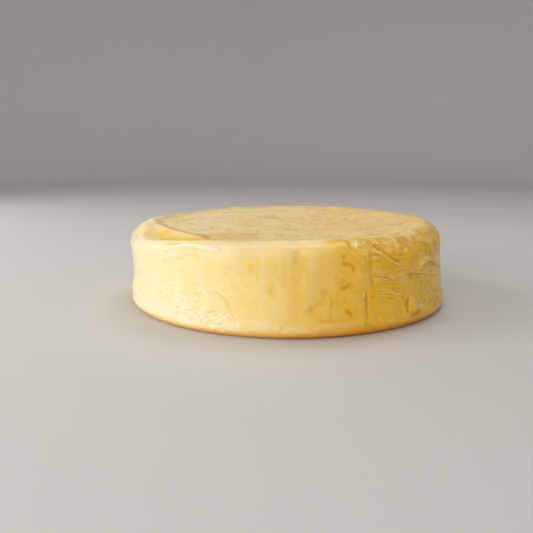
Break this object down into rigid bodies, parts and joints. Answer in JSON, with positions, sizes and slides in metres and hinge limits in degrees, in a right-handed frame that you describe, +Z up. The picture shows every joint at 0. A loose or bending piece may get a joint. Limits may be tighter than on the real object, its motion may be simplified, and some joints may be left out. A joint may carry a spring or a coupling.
{
  "type": "cheese wheel",
  "caption": "Whole round of pale butter-yellow cheese in a clear satin film, with a sunk top, soft rim and the folds and dents of its skin.",
  "frame": {"origin": "middle of the wheel's box, on the flat underside that it stands on", "axes": "+Z up out of the top, -Y towards the side that the picture shows, +X to the right of it"},
  "size_m": [0.304, 0.3026, 0.0775],
  "materials": {
    "rind_in_film": "satin film over a pale butter-yellow rind, matte and finely creased on the top"
  },
  "bodies": {
    "root": {"cheese_wheel": "rind_in_film"}
  },
  "joints": []
}
